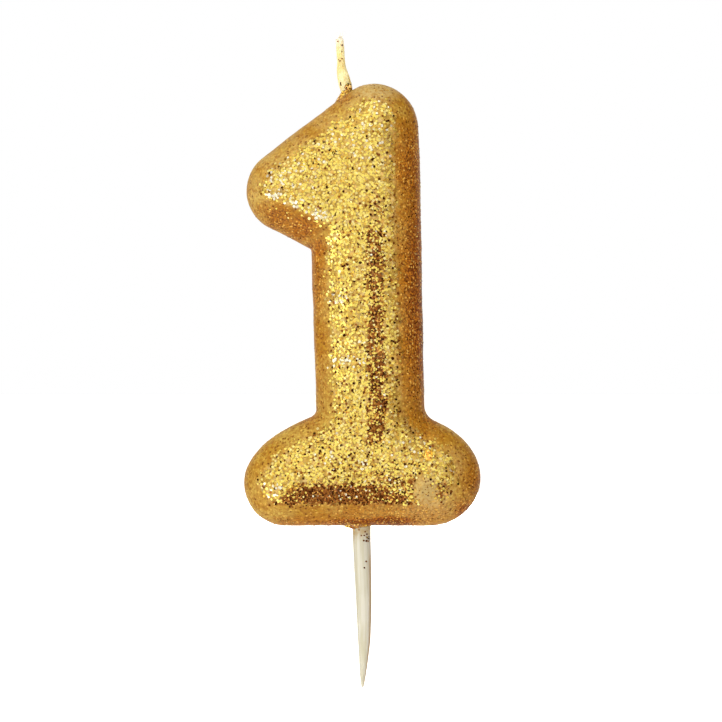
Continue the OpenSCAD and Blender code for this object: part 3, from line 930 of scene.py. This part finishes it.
bead_coat = bead_material("lacquer_bead", "#CC9840", "#EAC070")
ring_coat = bead_material("lacquer_ring", "#7A5212", "#A2762C")
drip_coat = bead_material("lacquer_drip", "#74480E", "#A4701E")
drop_coat = bead_material("lacquer_drop", "#BC8810", "#D8A830")


def skirt(axis_x, base_z, radii, reach, rise, slope=0.0):
    """Meniscus round a round piece, above base_z or below it. Reach and rise give its size at
    an angle from +X. It starts inside what it stands on, and ends inside the round piece."""
    a = turns(60)
    out, up = reach(a), rise(a)
    way = math.copysign(1, up.sum())
    rings = []
    for level in (-0.5, *np.linspace(0, 1, 12), 2):
        phi = math.pi / 2 * min(max(level, 0), 1)
        sunk = 0.5 * way if level < 0 else 0
        r_add = out * (1 - math.sin(phi)) - (0.2 if level > 1 else 0)
        x, y = (radii[0] + r_add) * np.cos(a), (radii[1] + r_add) * np.sin(a)
        z = base_z + slope * x * (1 - math.sin(phi)) + up * (1 - math.cos(phi)) - sunk
        rings.append(np.stack([axis_x + x, y, z], 1))
    rings = np.array(rings)
    points = rings.reshape(-1, 3)
    points += lumps(points, 0.5, 12)[:, None] * 0.05
    return loft(points.reshape(rings.shape)[::int(way)])


def bead(centre, radius, flatten=(1, 1, 1)):
    """Lumpy ball of lacquer."""
    a = turns(36)
    rings = []
    for t in np.radians(np.linspace(-88, 88, 20)):
        x, y = np.cos(t) * np.cos(a), np.cos(t) * np.sin(a)
        rings.append(np.stack([x, y, np.full(len(a), math.sin(t))], 1))
    rings = np.array(rings)
    points = rings.reshape(-1, 3)
    points = points * (1 + 0.13 * lumps(points, 0.8, 14))[:, None] * radius * np.array(flatten)
    return loft((points + centre).reshape(rings.shape))


def to_left(a):
    """0 on the right of a round piece, 1 on its left."""
    return ((1 - np.cos(a)) / 2) ** 1.5


make_mesh("drip_at_pick", *skirt(-0.03, 0, (1.38, 1.36), lambda a: 0.1 + 1.3 * to_left(a),
          lambda a: -0.08 - 0.9 * to_left(a) ** 2), drip_coat, "gold_lacquer")
make_mesh("ring_at_wick", *skirt(ROOT_X, ROOT_Z + 0.1, (0.78, 0.68), lambda a: 0.45 + 0.9 * to_left(a),
          lambda a: np.full(len(a), 0.95), slope=0.72), ring_coat, "gold_lacquer")
# One bead lies beside the wick's ring, and one is sunk in the face of the foot
WICK_BEAD = np.array((ROOT_X + 0.1, -0.85, BODY_H - 0.55))
make_mesh("bead_at_wick", *bead(WICK_BEAD, 0.58), bead_coat, "gold_lacquer")
foot_bead = settle(np.array([[10.45, -6.0, 11.3]]))[0] + (0, -0.15, 0)
make_mesh("bead_on_foot", *bead(foot_bead, 0.8, (0.95, 0.7, 1.1)), drop_coat, "gold_lacquer")


# ---- stray flakes on the wick, the beads and the pick ----

SPECK_R, SPECK_TILT = 0.16, 9.0
# How far out from the middle of its bead a flake lies
BEAD_SPECK_R = 0.62


def specks(name, places, tone):
    """Flakes of one tone at places, which are pairs of a point and the way out there."""
    points = np.array([p for p, _ in places], float)
    ways = np.array([w for _, w in places], float)
    ways /= np.linalg.norm(ways, axis=1)[:, None]
    flakes(name, points, ways, SPECK_R, SPECK_TILT, np.full(len(places), tone), lift=0.0)


def on_wick(z, turn):
    """Place on the sheath's front, where turn is the share of its half width to the right."""
    away = math.sqrt(1 - turn ** 2)
    wide, deep = SHEATH_X + COLLAR_X * collar_at(z), SHEATH_Y + COLLAR_Y * collar_at(z)
    return (wick_x(z) + wide * turn, -deep * away, z), (turn, -away, 0)


def on_pick(z, turn):
    """Place on the spike's front, as on_wick() gives it."""
    m, r = spike_at(z)
    away = math.sqrt(1 - turn ** 2)
    return (m + r * turn, -SPIKE_FLAT * r * away, z), (turn, -away, 0)


def on_bead(x, z):
    """Place on the front of the bead at the wick, by shares of its half width and half height."""
    way = np.array((x, -math.sqrt(1 - x * x - z * z), z))
    return WICK_BEAD + BEAD_SPECK_R * way, way


def on_drip(k):
    """Place on the run of lacquer left of the pick, from its inner end, 0, to its outer one, 1."""
    return (-1.5 - 1.1 * k, -0.35 - 0.9 * (1 - k), -0.25 + 0.2 * k), (-0.3, -1, -0.4)


wick_specks = [on_wick(z, turn) for z, turn in (
    (76.7, -0.5), (76.1, 0.5), (75.1, 0.3), (74.0, 0.25), (73.6, -0.25), (73.8, -0.5),
    (70.1, -0.65), (69.8, -0.65))]
pick_specks = [on_pick(z, turn) for z, turn in (
    (-1.5, -0.05), (-1.45, 0.28), (-1.3, 0.55), (-1.7, 0.80), (-2.0, 0.72), (-2.3, 0.22), (-2.35, 0.5),
    (-2.4, 0.68), (-2.1, 0.9), (-0.9, 0.35), (-0.6, -0.3), (-5.6, 0.42), (-6.6, 0.2))]
bead_specks = [on_bead(x, z) for x, z in (
    (-0.5, 0.55), (0.0, 0.8), (0.6, 0.6), (-0.4, -0.2), (0.4, -0.45), (-0.05, 0.35))]
bright_on_pick = ((0.78, -1.19, -1.8), (0.5, -1, 0))
specks("specks_dull", wick_specks + pick_specks, -0.6)
specks("specks_on_bead", bead_specks, -0.9)
drip_specks = [on_drip(k) for k in rng.random(26)]
specks("specks_bright", [bright_on_pick, *drip_specks[:8]], 0.6)
specks("specks_in_drip", drip_specks[8:], -0.5)


# ---- world, lights, floor and camera ----

def area_light(name, place, target, size, power):
    """Soft round lamp. The flakes don't mirror it: the world is what they mirror."""
    light = bpy.data.lights.new(name, "AREA")
    light.shape, light.size, light.energy = "DISK", size, power
    obj = bpy.data.objects.new(name, light)
    obj.location = place
    obj.rotation_mode = "QUATERNION"
    obj.rotation_quaternion = (Vector(target) - Vector(place)).to_track_quat("-Z", "Y")
    obj.visible_camera = False
    obj.visible_glossy = False
    bpy.context.scene.collection.objects.link(obj)


low, high = (np.array(c) for c in cad_box)
middle = (low + high) / 2

# The world is a white backdrop to the camera, and a studio dome to the object: bright from the
# left and a little below, brown where it is dim, with a plain light behind and soft clouds.
# GLOW_WAY is where it is brightest
GLOW_WAY = Vector((-0.72, -0.38, -0.58)).normalized()
DIM_TINT, BRIGHT_TINT = (1.0, 0.48, 0.20, 1), (1.0, 0.98, 0.88, 1)
world = bpy.data.worlds.new("studio")
bpy.context.scene.world = world
world.use_nodes = True
wt = world.node_tree
wt.nodes.clear()
way_vector = add(wt, "ShaderNodeTexCoord").outputs["Generated"]
side, ahead, rise = add(wt, "ShaderNodeSeparateXYZ", {0: way_vector}).outputs
front = step(wt, ahead, 0.30, -0.50, 0.22, 1.0)
dim_right = step(wt, side, 0.05, 0.95, 1.10, 0.22)
dim_left = step(wt, side, -0.45, 0.05, 0.82, 1.0)
above = step(wt, rise, -0.2, 0.9, 0.95, 1.3)
dome = calc(wt, "MULTIPLY", front, calc(wt, "MULTIPLY", dim_right, dim_left))
dome = calc(wt, "MULTIPLY", dome, above)
glow = add(wt, "ShaderNodeVectorMath", {0: way_vector, 1: GLOW_WAY}, operation="DOT_PRODUCT")
dome = calc(wt, "ADD", dome, step(wt, glow.outputs["Value"], 0.72, 0.97, 0.0, 1.3))
dome = calc(wt, "ADD", dome, step(wt, ahead, 0.45, 0.85, 0.0, 0.85))
clouds = add(wt, "ShaderNodeTexNoise", {"Vector": way_vector, "Scale": 7.0, "Detail": 1.0}).outputs["Fac"]
dome = calc(wt, "MULTIPLY", dome, step(wt, clouds, 0.32, 0.68, 0.50, 1.36))
tint = mix(wt, step(wt, dome, 0.05, 0.95), DIM_TINT, BRIGHT_TINT)
seen = add(wt, "ShaderNodeLightPath").outputs["Is Camera Ray"]
level = add(wt, "ShaderNodeMix", {0: seen, 2: dome, 3: 1.0}, data_type="FLOAT").outputs[0]
tint = mix(wt, seen, tint, (1, 1, 1, 1))
background = add(wt, "ShaderNodeBackground", {"Color": tint, "Strength": level})
add(wt, "ShaderNodeOutputWorld", {0: background.outputs[0]})

area_light("key", (-0.60, -0.70, 0.60), middle, 0.60, 7.0)
area_light("top", (0.15, -0.25, 0.9), middle, 0.5, 3.6)
area_light("back", (0.1, 1.0, 0.2), middle, 0.5, 9.0)

# The floor is just under the pick's point
floor_mesh = bpy.data.meshes.new("floor")
reach, floor_z = 6.0, float(low[2]) - 0.2 * MM
floor_mesh.from_pydata([(-reach, -reach, floor_z), (reach, -reach, floor_z),
                        (reach, reach, floor_z), (-reach, reach, floor_z)], [], [(0, 1, 2, 3)])
floor = bpy.data.objects.new("floor", floor_mesh)
bpy.context.scene.collection.objects.link(floor)
floor_paint, tree, shader, _ = new_material("floor_white")
finish(tree, shader, Base_Color=(0.8, 0.8, 0.8, 1), Roughness=0.9,
       Emission_Color=(1, 1, 1, 1), Emission_Strength=0.75)
floor_mesh.materials.append(floor_paint)
floor.visible_glossy = False
floor.visible_shadow = False

# Width of the view at the candle, how far off the camera is, and the point that it looks at
FIELD, DISTANCE = 0.1144, 0.70
AIM = Vector((-0.00016, 0.0, 0.0261))
camera = bpy.data.cameras.new("camera")
camera.lens = camera.sensor_width * DISTANCE / FIELD
camera.clip_start, camera.clip_end = 0.05, 20
camera_obj = bpy.data.objects.new("camera", camera)
camera_obj.location = AIM + Vector((0, -DISTANCE, 0))
camera_obj.rotation_euler = (math.pi / 2, 0, 0)
bpy.context.scene.collection.objects.link(camera_obj)
bpy.context.scene.camera = camera_obj
bpy.context.scene.view_settings.view_transform = "Standard"
